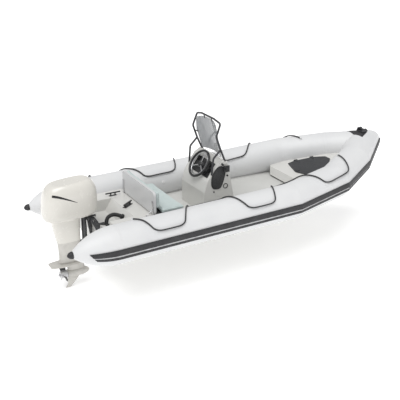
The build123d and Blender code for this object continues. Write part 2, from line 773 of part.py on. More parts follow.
# ---------------------------------------------------------------- bench
def seat():
    outer = block(-SEAT_HALF, SEAT_HALF, SEAT_FRONT_Y + 25, SEAT_BACK_Y, 380, SEAT_BASE_TOP)
    inner = block(-SEAT_HALF + 10, SEAT_HALF - 10, SEAT_FRONT_Y + 35, SEAT_BACK_Y - 10, 370,
                  SEAT_BASE_TOP - 10)
    mouth = block(-SEAT_HALF + 60, SEAT_HALF - 60, SEAT_FRONT_Y + 75, SEAT_BACK_Y - 70, 560, 620)
    below = block(-700, 700, 300, 1000, 300, 380) + prism_x(
        [(300, 300), (1000, 300), (1000, deck_height(1000) + 0.3), (300, deck_height(300) + 0.3)],
        -700, 700)
    base = (outer - inner - mouth) - below
    save("seat_base", base)
    board_low = SEAT_BASE_TOP + 0.4
    board = block(-SEAT_HALF, SEAT_HALF, SEAT_FRONT_Y + 26, SEAT_BACK_Y, board_low,
                  board_low + SEAT_BOARD)
    hinge_y, hinge_z = SEAT_HINGE_Y, board_low + SEAT_BOARD / 2
    posts = []
    for x in (-300.0, 300.0):
        leaf = rod((x - 20, hinge_y, hinge_z), (x + 20, hinge_y, hinge_z), 6)
        leaf += block(x - 20, x + 20, hinge_y, SEAT_FRONT_Y + 30, hinge_z - 3, hinge_z + 3)
        board += leaf - rod((x - 30, hinge_y, hinge_z), (x + 30, hinge_y, hinge_z), 3 + RUNNING_GAP)
        post = rod((x - 42, hinge_y, hinge_z), (x + 42, hinge_y, hinge_z), 3)
        for x0 in (x - 32, x + 32):
            post += block(x0 - 11, x0 + 11, hinge_y - 6, SEAT_FRONT_Y + 24.7, 560, hinge_z)
            post += rod((x0 - 11, hinge_y, hinge_z), (x0 + 11, hinge_y, hinge_z), 6)
        posts.append(post)
    save("seat_board", board)
    save("seat_hinges", *posts)
    seat_soft_parts(board_low + SEAT_BOARD)
    backrest_arms(board_low + SEAT_BOARD)


def seat_soft_parts(board_top):
    """The seat cushion, and the backrest's shell with its pad."""
    low = board_top + 0.3
    cushion = block(-SEAT_HALF + 4, SEAT_HALF - 4, SEAT_FRONT_Y, SEAT_BACK_Y - 74, low,
                    low + SEAT_CUSHION)
    save("seat_cushion", fillet(cushion.edges().filter_by(Axis.Z), 40))
    back_y = SEAT_BACK_Y
    shell = block(-SEAT_HALF, SEAT_HALF, back_y, back_y + BACK_SHELL, LEDGE_Z + 12, BACK_TOP)
    save("backrest_shell", fillet(shell.edges().filter_by(Axis.Y), 45))
    pad = block(-SEAT_HALF + 4, SEAT_HALF - 4, back_y - BACK_CUSHION, back_y - 0.3,
                BACK_LOW + 4, BACK_TOP + 4)
    save("backrest_cushion", fillet(pad.edges().filter_by(Axis.Y), 45))


def backrest_arms(board_top):
    """Two bent straps that carry the backrest on the seat board, and the starboard stay."""
    low = board_top + 0.3
    back = SEAT_BACK_Y + BACK_SHELL + 0.3
    step = LEDGE_Z + 3
    outline = [
        (SEAT_BACK_Y - 64, low), (SEAT_BACK_Y - 4, low), (SEAT_BACK_Y + 2, step), (back + 8, step),
        (back + 8, BACK_LOW + 110), (back, BACK_LOW + 110), (back, step + 8),
        (SEAT_BACK_Y - 2, step + 8), (SEAT_BACK_Y - 8, low + 8), (SEAT_BACK_Y - 64, low + 8),
    ]
    x = SEAT_HALF - 30
    strap = prism_x(outline, -x - 18, -x + 18)
    stay_y, foot_y = back + 6, back + 84
    stay = rod((-x, stay_y, BACK_LOW + 4), (-x, foot_y, LEDGE_Z + 9), 7)
    stay += rod((-x - 14, foot_y, LEDGE_Z + 9), (-x + 14, foot_y, LEDGE_Z + 9), 8)
    save("backrest_arms", strap + stay, mirrored(strap))


# ---------------------------------------------------------------- stern deck
def stern_deck(core):
    """One moulding: side ledges, the raised bridge behind the bench and the splash well."""
    trim = core + mirrored(core)
    aft = TRANSOM_Y - TRANSOM_THICK
    body = block(-700, 700, SEAT_BACK_Y + 4, aft, 360, LEDGE_Z)
    well = prism_x(
        [(BRIDGE_Y + 90, LEDGE_Z), (BRIDGE_Y + 190, WELL_FLOOR), (aft + 1, WELL_FLOOR),
         (aft + 1, LEDGE_Z + 1), (BRIDGE_Y + 90, LEDGE_Z + 1)],
        -WELL_HALF, WELL_HALF,
    )
    body -= well
    body -= deck_solid(20.0)
    body -= trim
    under = block(-690, 690, SEAT_BACK_Y + 4 + WELL_WALL, aft - WELL_WALL, 300, LEDGE_Z - WELL_WALL)
    well_wall = prism_x(
        [(BRIDGE_Y + 90 - 12, LEDGE_Z + 1), (BRIDGE_Y + 182, WELL_FLOOR - WELL_WALL),
         (aft + 1, WELL_FLOOR - WELL_WALL), (aft + 1, LEDGE_Z + 1)],
        -WELL_HALF - WELL_WALL, WELL_HALF + WELL_WALL,
    )
    wider = collar_core(COLLAR_R + WELL_WALL)
    hollow = (under - well_wall) - (wider + mirrored(wider))
    shell = body - hollow
    shell -= block(-700, 700, 800, 1500, 300, 400)
    save("stern_deck", biggest(shell))


def stern_fittings():
    x, y, z = 400.0, 1045.0, LEDGE_Z + 0.3
    feet = block(x - 14, x + 14, y - 48, y + 48, z, z + 6)
    for step in (-30, 30):
        feet += rod((x, y + step, z + 5), (x, y + step, z + 34), 9)
    horns = rod((x, y - 100, z + 38), (x, y + 100, z + 38), 9)
    cleat = feet + horns
    turn = Pos(0, 1020, LEDGE_Z) * Rot(0, 0, HANDLE_TURN)
    handle = block(-24, 24, -80, 80, 0.3, 6)
    for step in (-56, 56):
        handle += rod((0, step, 5), (0, step, 34), 9)
    handle += rod((0, -88, 38), (0, 88, 38), 10)
    save("stern_cleats", cleat, turn * handle)


# ---------------------------------------------------------------- outboard engine
def clamp_bracket():
    side = [
        (TRANSOM_Y + 0.3, 262), (TRANSOM_Y + 26, 250), (TILT_Y - 26, 470), (TILT_Y + 24, 575),
        (TILT_Y + 24, 618), (TILT_Y - 18, 628), (TRANSOM_Y + 22, 560), (TRANSOM_Y + 14, 533),
        (TRANSOM_Y - TRANSOM_THICK - 12, 533), (TRANSOM_Y - TRANSOM_THICK - 12, 480),
        (TRANSOM_Y - TRANSOM_THICK - 0.3, 480), (TRANSOM_Y - TRANSOM_THICK - 0.3, TRANSOM_TOP + 0.4),
        (TRANSOM_Y + 0.3, TRANSOM_TOP + 0.4),
    ]
    plate = prism_x(side, -PLATE_GAP - PLATE_THICK, -PLATE_GAP)
    tube_bore = rod((-200, TILT_Y, TILT_Z), (200, TILT_Y, TILT_Z), TILT_TUBE_R)
    plate -= tube_bore
    bolts = []
    for z in (300.0, 420.0):
        x = -PLATE_GAP - PLATE_THICK / 2
        foot = block(x - 26, x + 7, TRANSOM_Y + 0.3, TRANSOM_Y + 10, z - 18, z + 18)
        plate += foot
        bolts.append(rod((x - 17, TRANSOM_Y + 10.3, z), (x - 17, TRANSOM_Y + 18, z), 8))
    save("clamp_brackets", *both(plate))
    tube = ring((-172, TILT_Y, TILT_Z), (148, TILT_Y, TILT_Z), TILT_TUBE_R, TILT_BORE_R)
    save("tilt_tube", tube, *bolts, *[mirrored(bolt) for bolt in bolts])


def swivel_bracket():
    gap = RUNNING_GAP
    post = rod((0, STEER_Y, 300), (0, STEER_Y, ARM_Z - 3), SWIVEL_R)
    beam = block(-112, 112, TILT_Y - 4, STEER_Y - 12, 582, 622)
    lugs = None
    for x in (-112.0, 82.0):
        lug = rod((x, TILT_Y, TILT_Z), (x + 30, TILT_Y, TILT_Z), 27)
        lugs = lug if lugs is None else lugs + lug
    body = post + beam + lugs
    body -= rod((-200, TILT_Y, TILT_Z), (200, TILT_Y, TILT_Z), TILT_TUBE_R + gap)
    body -= rod((0, STEER_Y, 290), (0, STEER_Y, ARM_Z + 10), KINGPIN_R + gap)
    save("swivel_bracket", body)


def steering_yoke():
    pin = rod((0, STEER_Y, 272), (0, STEER_Y, ARM_Z + ARM_THICK), KINGPIN_R)
    arm = prism_z(
        [(-30, STEER_Y + 92), (-34, STEER_Y - 20), (-13, STEER_Y - ARM_REACH - 12),
         (13, STEER_Y - ARM_REACH - 12), (34, STEER_Y - 20), (30, STEER_Y + 92)],
        ARM_Z, ARM_Z + ARM_THICK)
    low = prism_z(
        [(-26, STEER_Y + 74), (-24, STEER_Y - 20), (24, STEER_Y - 20), (26, STEER_Y + 74)],
        272, 294)
    save("steering_yoke", pin + arm + low)


def ram_and_link():
    """The steering ram slides in the tilt tube; its link rides above the steering arm."""
    ram_r = TILT_BORE_R - RUNNING_GAP
    ram = rod((-60, TILT_Y, TILT_Z), (246, TILT_Y, TILT_Z), ram_r)
    link_y, link_z = STEER_Y - ARM_REACH, ARM_Z + ARM_THICK + 6.5
    riser = rod((245, TILT_Y, TILT_Z), (245, link_y, link_z), 7)
    joint = rod((236, TILT_Y, TILT_Z), (256, TILT_Y, TILT_Z), 13)
    ram_end = ram + joint
    link = rod((245, link_y, link_z), (0, link_y, link_z), 6)
    eye = rod((0, link_y, link_z - 6), (0, link_y, link_z + 6), 12)
    save("steering_ram", ram_end, (riser + link + eye) - ram_end)


def superellipse(half_x, y0, y1, z, power=3.2, count=20, slope=0.0):
    """A rounded-rectangle outline with soft corners, falling towards the stern by its slope."""
    half_y, middle = (y1 - y0) / 2, (y0 + y1) / 2
    points = []
    for step in range(count):
        angle = 2 * math.pi * (step + 0.5) / count
        c, s = math.cos(angle), math.sin(angle)
        x = half_x * math.copysign(abs(c) ** (2 / power), c)
        y = middle + half_y * math.copysign(abs(s) ** (2 / power), s)
        points.append((x, y, z - slope * (y - COWL_FRONT)))
    return make_face(Spline(*points, periodic=True))


COWL_FRONT = 1450.0
COWL_SLOPE = 0.06
COWL_RINGS = [  # half width, front y, back y, height
    (188.0, 1448.0, 2090.0, 0.0), (194.0, 1440.0, 2098.0, 80.0), (190.0, 1440.0, 2086.0, 200.0),
    (178.0, 1452.0, 2066.0, 300.0), (152.0, 1488.0, 2026.0, 368.0), (104.0, 1562.0, 1952.0, 402.0),
]


def cowl_body(shrink=0.0):
    faces = []
    for half, front, back, up in COWL_RINGS:
        z = COWL_SPLIT + 0.4 + up - (shrink if up > 0 else 5.0 if shrink else 0.0)
        faces.append(superellipse(half - shrink, front + shrink, back - shrink, z, slope=COWL_SLOPE))
    return loft(faces)


def cowl():
    save("cowl_top", cowl_body() - cowl_body(COWL_WALL))
    pan = loft([
        superellipse(188, 1448, 2090, COWL_SPLIT, slope=COWL_SLOPE),
        superellipse(162, 1464, 2030, PAN_Z, slope=COWL_SLOPE)])
    inner = loft([
        superellipse(178, 1458, 2080, COWL_SPLIT + 1, slope=COWL_SLOPE),
        superellipse(154, 1476, 2018, PAN_Z + 8, slope=COWL_SLOPE)])
    save("cowl_pan", pan - inner)
    apron = loft([
        superellipse(140, 1655, 2020, PAN_Z - 0.4, slope=COWL_SLOPE), superellipse(120, 1662, 1996, 560),
        superellipse(82, 1664, 1966, 400), superellipse(66, 1662, 1948, 330)])
    slot = prism_z([(-34, 1600), (34, 1600), (34, STEER_Y + 93), (-34, STEER_Y + 93)],
                   ARM_Z - 0.4, ARM_Z + ARM_THICK + 0.4)
    save("leg_apron", apron - slot)
    leg = loft([
        superellipse(66, 1662, 1948, 329.6, 2.6), superellipse(52, 1662, 1938, 200, 2.4),
        superellipse(46, 1660, 1940, PLATE_Z + 24, 2.3)])
    notch = block(-26.4, 26.4, 1600, STEER_Y + 74.4, 271.6, 294.4)
    save("midsection", leg - notch)


def powerhead():
    floor = PAN_Z + 8.4
    block_part = block(-95, 95, 1560, 1850, floor - 40, PAN_Z + 270)
    block_part -= prism_x(
        [(COWL_FRONT, floor), (COWL_FRONT + 600, floor - 600 * COWL_SLOPE), (COWL_FRONT + 600, 500),
         (COWL_FRONT, 500)], -200, 200)
    head = block(-120, 120, 1850, 1940, PAN_Z + 60, PAN_Z + 240)
    wheel = Pos(0, 1690, PAN_Z + 270) * Cylinder(110, 40, align=(Align.CENTER, Align.CENTER, Align.MIN))
    save("powerhead", block_part + head, Pos(0, 0, 0.3) * wheel)


def gearcase():
    """The lower leg, its anti-ventilation plate, the bullet with the gears, and the skeg."""
    upper = loft([
        superellipse(46, 1660, 1940, PLATE_Z + 23.6, 2.3), superellipse(38, 1645, 1930, PLATE_Z + 4, 2.2)])
    strut = loft([
        superellipse(38, 1640, TORPEDO_END_Y - 8, PLATE_Z + 4, 2.2),
        superellipse(28, 1622, TORPEDO_END_Y - 6, SHAFT_Z + 30, 2.2)])
    plate = prism_z(
        [(-46, 1625), (-96, 1740), (-104, 1900), (-84, 2030), (-60, 2062), (60, 2062), (84, 2030),
         (104, 1900), (96, 1740), (46, 1625)],
        PLATE_Z, PLATE_Z + 9)
    nose_length = 110.0
    nose_y = 1570 + nose_length
    torpedo = rod((0, nose_y, SHAFT_Z), (0, TORPEDO_END_Y, SHAFT_Z), TORPEDO_R)
    nose = Pos(0, nose_y, SHAFT_Z) * scale(Sphere(TORPEDO_R), (1, nose_length / TORPEDO_R, 1))
    skeg = prism_x([(1660, SHAFT_Z), (1846, SHAFT_Z), (1850, -248), (1880, -292), (1818, -292),
                    (1745, -215)], -6, 6)
    body = upper + strut + plate + torpedo + nose + skeg
    bore = rod((0, TORPEDO_END_Y - 80, SHAFT_Z), (0, TORPEDO_END_Y + 1, SHAFT_Z),
               PROP_SHAFT_R + RUNNING_GAP)
    save("gearcase", body - bore)


def propeller():
    y0 = TORPEDO_END_Y + 3
    y1 = y0 + PROP_HUB_L
    hub = rod((0, y0, SHAFT_Z), (0, y1, SHAFT_Z), PROP_HUB_R)
    hub -= rod((0, y0 - 1, SHAFT_Z), (0, y1 + 1, SHAFT_Z), PROP_SHAFT_R)
    for turn in (20, 140, 260):
        hub += Pos(0, 0, SHAFT_Z) * (Rot(0, turn, 0) * propeller_blade((y0 + y1) / 2))
    save("propeller", hub - rod((0, y0 - 1, SHAFT_Z), (0, y1 + 1, SHAFT_Z), PROP_SHAFT_R))
    shaft = rod((0, TORPEDO_END_Y - 78, SHAFT_Z), (0, y1 + 22, SHAFT_Z), PROP_SHAFT_R)
    corners = [math.radians(turn) for turn in range(0, 360, 60)]
    hexagon = [(16 * math.cos(turn), SHAFT_Z + 16 * math.sin(turn)) for turn in corners]
    nut = prism_y(hexagon, y1 + 0.3, y1 + 16) - shaft
    save("propeller_shaft", shaft, nut)


def propeller_blade(middle_y):
    """One blade pointing up from the axis, pitched and swept."""
    rows = []
    for radius, chord, pitch in ((PROP_HUB_R - 6, 66, 52), (72, 88, 40), (102, 88, 31), (PROP_R, 44, 27)):
        turn = math.radians(pitch)
        dx, dy = chord / 2 * math.cos(turn), chord / 2 * math.sin(turn)
        nx, ny = -math.sin(turn) * 2.6, math.cos(turn) * 2.6
        rake = (radius - PROP_HUB_R) * 0.12
        rows.append(make_face(Polyline(
            (dx + nx * 0.2, middle_y + rake + dy + ny * 0.2, radius), (nx, middle_y + rake + ny, radius),
            (-dx + nx * 0.2, middle_y + rake - dy + ny * 0.2, radius),
            (-dx - nx * 0.2, middle_y + rake - dy - ny * 0.2, radius), (-nx, middle_y + rake - ny, radius),
            (dx - nx * 0.2, middle_y + rake + dy - ny * 0.2, radius), close=True)))
    return loft(rows, ruled=True)


def bridge_plane(x, height):
    """Lies on the sloping face of the bridge, facing aft and up into the well."""
    along_y, fall = 100.0, LEDGE_Z - WELL_FLOOR
    y = BRIDGE_Y + 90 + (LEDGE_Z - height) * along_y / fall
    return Plane(origin=(x, y, height), x_dir=(1, 0, 0), z_dir=(0, fall, along_y))


def hoses():
    """The rigging hose across the splash well and the steering cable to the tilt tube."""
    start = bridge_plane(HOSE_X, 540)
    gland = start.location * rod((0, 0, 0.3), (0, 0, 14), HOSE_R + 9)
    a = start.from_local_coords(Vector(0, 0, 14))
    b = start.from_local_coords(Vector(0, 0, 66))
    foot = (HOSE_X, 1360.0, WELL_FLOOR + 14)
    hose = tube_along([a, b, (HOSE_X, 1275, 604), (HOSE_X, 1360, 568), foot], HOSE_R)
    floor_gland = rod((*foot[:2], WELL_FLOOR + 0.3), foot, HOSE_R + 9)
    exit_plane = bridge_plane(CABLE_X, 545)
    cable_gland = exit_plane.location * rod((0, 0, 0.3), (0, 0, 16), 14)
    c = exit_plane.from_local_coords(Vector(0, 0, 16))
    d = exit_plane.from_local_coords(Vector(0, 0, 50))
    cable = tube_along(
        [c, d, (CABLE_X - 8, 1330, 548), (CABLE_X - 6, 1440, 552), (CABLE_X + 8, 1505, 575),
         (-215, TILT_Y, TILT_Z), (-173, TILT_Y, TILT_Z)], 8)
    save("deck_glands", gland, floor_gland, cable_gland)
    save("control_cables", hose, cable)


def under_deck():
    tank = block(-243.7, 243.7, -500, 440, 150, 385)
    tank = fillet(tank.edges().filter_by(Axis.Y), 30)
    save("fuel_tank", tank - prism_x([(-510, 376), (450, 376), (450, 420), (-510, 420)], -300, 300))


def build():
    core = collar_core(COLLAR_R + FIT)
    collar_skins()
    collar_baffles()
    cone_caps()
    strake("rub_strake_upper", STRAKE_UPPER, STRAKE_THICK)
    strake("rub_strake_line", STRAKE_LINE, STRAKE_LINE_THICK)
    strake("rub_strake_lower", STRAKE_LOWER, STRAKE_THICK)
    lifeline_patches(lifelines())
    inflation_valves()
    bow_fittings()
    hull(core)
    stringers(core)
    deck(core)
    transom_parts()
    bow_eye()
    bow_locker(core)
    hatch()
    console()
    dash_parts()
    steering_wheel()
    windscreen()
    console_fittings()
    seat()
    stern_deck(core)
    stern_fittings()
    under_deck()
    clamp_bracket()
    swivel_bracket()
    steering_yoke()
    ram_and_link()
    cowl()
    powerhead()
    gearcase()
    propeller()
    hoses()


build()
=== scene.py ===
import math
import bmesh
import bpy
from mathutils import Matrix, Vector
from mathutils.bvhtree import BVHTree


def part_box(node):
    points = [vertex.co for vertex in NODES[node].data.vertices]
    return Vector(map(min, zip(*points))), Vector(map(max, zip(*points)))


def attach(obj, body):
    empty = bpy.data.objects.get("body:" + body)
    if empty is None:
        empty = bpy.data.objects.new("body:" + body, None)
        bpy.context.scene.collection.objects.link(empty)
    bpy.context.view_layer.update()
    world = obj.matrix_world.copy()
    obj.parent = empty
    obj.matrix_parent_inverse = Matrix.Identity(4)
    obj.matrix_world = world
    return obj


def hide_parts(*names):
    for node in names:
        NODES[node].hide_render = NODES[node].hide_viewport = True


# A rigid-hulled inflatable boat, in metres. +Z is up, the bow points to -Y, starboard is -X.

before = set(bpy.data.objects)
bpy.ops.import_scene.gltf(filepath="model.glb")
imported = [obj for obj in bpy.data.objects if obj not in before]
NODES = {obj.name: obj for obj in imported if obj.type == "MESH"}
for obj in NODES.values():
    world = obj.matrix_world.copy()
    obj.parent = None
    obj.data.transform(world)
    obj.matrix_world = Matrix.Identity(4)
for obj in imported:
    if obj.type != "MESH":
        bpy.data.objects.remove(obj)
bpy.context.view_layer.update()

# ---------------------------------------------------------------- sizes the CAD model also uses
TUBE_R = 0.225
STATIONS = [
    (0.773, 1.530, 0.532), (0.773, -0.872, 0.576), (0.641, -1.671, 0.652),
    (0.322, -2.264, 0.738), (0.0, -2.649, 0.795),
]
CONE_LENGTH = 0.500
CONE_END_R = 0.042
ROPE_R = 0.009
ROPE_LOW = 0.015
ROPE_HIGH = 0.021
# Rope stops on the straight gore: (y, angle above outboard), then (gore, distance, angle).
ROPE_AFT = [
    (1.270, 108), (1.206, 88), (1.157, 64), (1.098, 35), (0.918, 34), (0.735, 35), (0.685, 61),
    (0.605, 95), (0.536, 118), (0.487, 141), (0.270, 140), (0.055, 140), (0.005, 116), (-0.039, 84),
    (-0.089, 58), (-0.150, 34), (-0.330, 33), (-0.512, 34), (-0.550, 60), (-0.610, 95),
    (-0.660, 120), (-0.715, 143),
]
ROPE_BOW = [
    (1, 0.060, 141), (1, 0.215, 139), (1, 0.290, 116), (1, 0.350, 92), (1, 0.410, 65),
    (1, 0.470, 36), (1, 0.690, 39), (1, 0.835, 41), (2, 0.085, 43), (2, 0.165, 66),
    (2, 0.260, 92), (2, 0.330, 112),
]
PADS_AFT = [0, 3, 5, 9, 11, 15, 17, 21]
PADS_BOW = [1, 5, 8, 11]
BRAID_TURNS = 4
BRAID_PITCH = 0.022
FLOOR_Z = -0.296
FLOOR_SIZE = 60
CAMERA_PLACE = (-7.984, 4.484, 4.258)
CAMERA_AIM = (0, 0, 0.4886)
CAMERA_LENS = 68.7
WORLD_LIGHT = 0.56
FLOOR_GLOW = 0.3
SUNS = [  # name, towards, strength, softness in degrees
    ("key", (0.22, -0.30, -1.0), 1.85, 50),
    ("fill", (1.0, -0.2, -0.5), 0.10, 80),
]


# ---------------------------------------------------------------- materials
class Look:
    """A Principled material with helpers for its procedural detail."""

    def __init__(self, name, color, roughness, metallic=0.0, **extra):
        self.material = bpy.data.materials.new(name)
        self.material.use_nodes = True
        self.nodes = self.material.node_tree.nodes
        self.links = self.material.node_tree.links
        self.shader = self.nodes["Principled BSDF"]
        self.shader.inputs["Base Color"].default_value = (*color, 1)
        self.shader.inputs["Roughness"].default_value = roughness
        self.shader.inputs["Metallic"].default_value = metallic
        for socket, value in extra.items():
            self.shader.inputs[socket.replace("_", " ")].default_value = value
        self.color = color
        self.roughness = roughness
        self.place = self.nodes.new("ShaderNodeTexCoord").outputs["Object"]
        self.height = None

    def link(self, output, node, socket):
        self.links.new(output, node.inputs[socket])

    def stretched(self, scale):
        """Object coordinates scaled by the given amounts, for brushed or woven detail."""
        node = self.nodes.new("ShaderNodeMapping")
        node.inputs["Scale"].default_value = scale
        self.link(self.place, node, "Vector")
        return node.outputs["Vector"]

    def noise(self, scale, detail=3.0, stretch=None):
        node = self.nodes.new("ShaderNodeTexNoise")
        node.inputs["Scale"].default_value = scale
        node.inputs["Detail"].default_value = detail
        self.link(self.stretched(stretch) if stretch else self.place, node, "Vector")
        return node.outputs["Fac"]

    def cells(self, scale):
        node = self.nodes.new("ShaderNodeTexVoronoi")
        node.inputs["Scale"].default_value = scale
        self.link(self.place, node, "Vector")
        return node.outputs["Distance"]

    def waves(self, scale, axis, vector=None):
        node = self.nodes.new("ShaderNodeTexWave")
        node.bands_direction = axis
        node.inputs["Scale"].default_value = scale
        node.inputs["Distortion"].default_value = 0.0
        self.link(vector or self.place, node, "Vector")
        return node.outputs["Fac"]

    def combine(self, a, b, operation="ADD"):
        node = self.nodes.new("ShaderNodeMath")
        node.operation = operation
        self.links.new(a, node.inputs[0])
        if isinstance(b, float):
            node.inputs[1].default_value = b
        else:
            self.links.new(b, node.inputs[1])
        return node.outputs["Value"]

    def spread(self, value, low, high, to_low, to_high):
        node = self.nodes.new("ShaderNodeMapRange")
        self.link(value, node, "Value")
        for socket, number in zip(("From Min", "From Max", "To Min", "To Max"),
                                  (low, high, to_low, to_high)):
            node.inputs[socket].default_value = number
        return node.outputs["Result"]

    def vary(self, value, other, low=0.35, high=0.7):
        """Mix the base colour towards another one where the value is high."""
        node = self.nodes.new("ShaderNodeMix")
        node.data_type = "RGBA"
        self.links.new(self.spread(value, low, high, 0.0, 1.0), node.inputs["Factor"])
        node.inputs["A"].default_value = (*self.color, 1)
        node.inputs["B"].default_value = (*other, 1)
        self.links.new(node.outputs["Result"], self.shader.inputs["Base Color"])
        return self

    def rough(self, value, swing):
        low, high = self.roughness - swing, self.roughness + swing
        self.link(self.spread(value, 0.3, 0.7, low, high), self.shader, "Roughness")
        return self

    def bump(self, value, distance, strength=1.0):
        node = self.nodes.new("ShaderNodeBump")
        node.inputs["Distance"].default_value = distance
        node.inputs["Strength"].default_value = strength
        self.link(value, node, "Height")
        if self.height:
            self.link(self.height, node, "Normal")
        self.height = node.outputs["Normal"]
        self.link(self.height, self.shader, "Normal")
        return self


def woven(look, pitch, depth):
    """A fine plain weave: threads run along and across the piece."""
    rate = 1 / pitch / 20 * 2 * math.pi
    weave = look.combine(look.waves(rate, "X"), look.waves(rate, "Y"), "MULTIPLY")
    weave = look.combine(weave, look.waves(rate, "Z"), "ADD")
    return look.bump(weave, depth, 0.5)


def collar_fabric():
    look = Look("collar_fabric", (0.705, 0.71, 0.714), 0.42, Sheen_Weight=0.08)
    look.vary(look.noise(3.0), (0.672, 0.677, 0.686))
    look.rough(look.noise(30.0), 0.06)
    woven(look, 0.0016, 0.00012)
    return look.bump(look.noise(9.0, 2.0), 0.0012, 0.35)


def rubber(name, color, roughness=0.55):
    look = Look(name, color, roughness)
    look.vary(look.noise(12.0), tuple(c * 1.35 + 0.006 for c in color))
    look.rough(look.noise(60.0), 0.08)
    return look.bump(look.noise(420.0, 4.0), 0.00025, 0.5)


def moulded(name, color, roughness=0.45):
    look = Look(name, color, roughness)
    look.vary(look.noise(20.0), tuple(c * 1.2 + 0.004 for c in color))
    look.rough(look.noise(90.0), 0.06)
    return look.bump(look.cells(900.0), 0.00015, 0.4)


def gelcoat(name, color, roughness=0.22):
    look = Look(name, color, roughness, Coat_Weight=0.5, Coat_Roughness=0.08)
    look.vary(look.noise(2.2), tuple(c * 0.965 for c in color))
    look.rough(look.noise(14.0), 0.05)
    return look.bump(look.noise(7.0, 2.0), 0.0006, 0.25)


def deck_grip():
    """Gelcoat with moulded diamond non-slip."""
    look = Look("deck_grip", (0.60, 0.60, 0.58), 0.5)
    look.vary(look.noise(1.8), (0.545, 0.545, 0.525))
    turned = look.nodes.new("ShaderNodeMapping")
    turned.inputs["Rotation"].default_value = (0, 0, math.radians(45))
    look.link(look.place, turned, "Vector")
    vector = turned.outputs["Vector"]
    grid = look.combine(look.waves(36.0, "X", vector=vector), look.waves(36.0, "Y", vector=vector),
                        "MULTIPLY")
    return look.bump(grid, 0.0008, 0.8)


def steel(name, color, roughness, stretch=(8, 8, 120)):
    look = Look(name, color, roughness, metallic=1.0)
    look.rough(look.noise(18.0, stretch=stretch), 0.08)
    look.vary(look.noise(9.0), tuple(c * 0.86 for c in color))
    return look.bump(look.noise(40.0, stretch=stretch), 0.0001, 0.25)


def vinyl():
    look = Look("seat_vinyl", (0.55, 0.625, 0.615), 0.42, Sheen_Weight=0.12)
    look.vary(look.noise(5.0), (0.505, 0.585, 0.575))
    look.rough(look.noise(26.0), 0.07)
    look.bump(look.cells(260.0), 0.0004, 0.5)
    return look.bump(look.noise(14.0, 3.0), 0.0014, 0.3)


def rope_look():
    look = Look("black_rope", (0.022, 0.022, 0.024), 0.75, Sheen_Weight=0.15)
    look.vary(look.noise(140.0), (0.05, 0.05, 0.052))
    return look.bump(look.noise(900.0, stretch=(1, 1, 3)), 0.0003, 0.6)


def net_look():
    look = Look("pocket_net", (0.012, 0.012, 0.013), 0.7, Sheen_Weight=0.1)
    mesh = look.cells(230.0)
    look.vary(mesh, (0.05, 0.05, 0.052))
    return look.bump(mesh, 0.0012, 0.9)


def wood_look():
    look = Look("marine_plywood", (0.42, 0.31, 0.19), 0.5)
    look.vary(look.noise(6.0, stretch=(14, 1, 14)), (0.30, 0.21, 0.12))
    return look.bump(look.noise(20.0, stretch=(14, 1, 14)), 0.0003, 0.5)


def acrylic():
    look = Look("tinted_acrylic", (0.42, 0.43, 0.44), 0.06, Transmission_Weight=0.55, IOR=1.49)
    look.vary(look.noise(4.0), (0.39, 0.40, 0.41))
    look.rough(look.noise(25.0), 0.03)
    return look.bump(look.noise(6.0, 1.0), 0.0003, 0.1)


def cast(name, color, roughness=0.4, metallic=0.4):
    look = Look(name, color, roughness, metallic=metallic)
    look.vary(look.noise(11.0), tuple(c * 0.88 for c in color))
    look.rough(look.noise(45.0), 0.07)
    return look.bump(look.noise(500.0), 0.0002, 0.4)


def propeller_look():
    """Dark painted blades round a bright hub."""
    look = Look("propeller_alloy", (0.035, 0.035, 0.038), 0.32, metallic=0.5)
    shifted = look.nodes.new("ShaderNodeMapping")
    shifted.inputs["Location"].default_value = (0, 0, 0.105)
    shifted.inputs["Scale"].default_value = (1, 0, 1)
    look.link(look.place, shifted, "Vector")
    length = look.nodes.new("ShaderNodeVectorMath")
    length.operation = "LENGTH"
    look.link(shifted.outputs["Vector"], length, "Vector")
    look.vary(length.outputs["Value"], (0.62, 0.62, 0.63), 0.05, 0.047)
    return look.bump(look.noise(300.0), 0.0002, 0.3)


LOOKS = {
    "fabric": collar_fabric(),
    "black_rubber": rubber("black_rubber", (0.018, 0.018, 0.02)),
    "grey_rubber": rubber("grey_rubber", (0.50, 0.50, 0.51)),
    "rope": rope_look(),
    "black_plastic": moulded("black_plastic", (0.018, 0.018, 0.019)),
    "white_plastic": moulded("white_plastic", (0.78, 0.78, 0.78), 0.35),
    "gauge": moulded("gauge_black", (0.008, 0.008, 0.009), 0.15),
    "net": net_look(),
    "cable": rubber("cable_sheath", (0.016, 0.016, 0.017), 0.5),
    "gelcoat": gelcoat("gelcoat_white", (0.64, 0.635, 0.61)),
    "backrest": gelcoat("backrest_gelcoat", (0.60, 0.605, 0.61), 0.35),
    "deck": deck_grip(),
    "wood": wood_look(),
    "lid": moulded("charcoal_lid", (0.024, 0.025, 0.028), 0.5),
    "steel": steel("stainless", (0.62, 0.62, 0.63), 0.24),
    "rail": cast("rail_paint", (0.045, 0.045, 0.05), 0.45, 0.2),
    "acrylic": acrylic(),
    "vinyl": vinyl(),
    "piping": rubber("piping", (0.44, 0.50, 0.49), 0.4),
    "tank": moulded("tank_plastic", (0.5, 0.05, 0.03), 0.4),
    "bracket": cast("bracket_alloy", (0.075, 0.076, 0.08)),
    "cowl": gelcoat("engine_shell", (0.72, 0.70, 0.65), 0.24),
    "leg": cast("engine_leg", (0.58, 0.565, 0.53), 0.34, 0.15),
    "propeller": propeller_look(),
    "graphic": rubber("graphic_black", (0.01, 0.01, 0.011), 0.3),
}

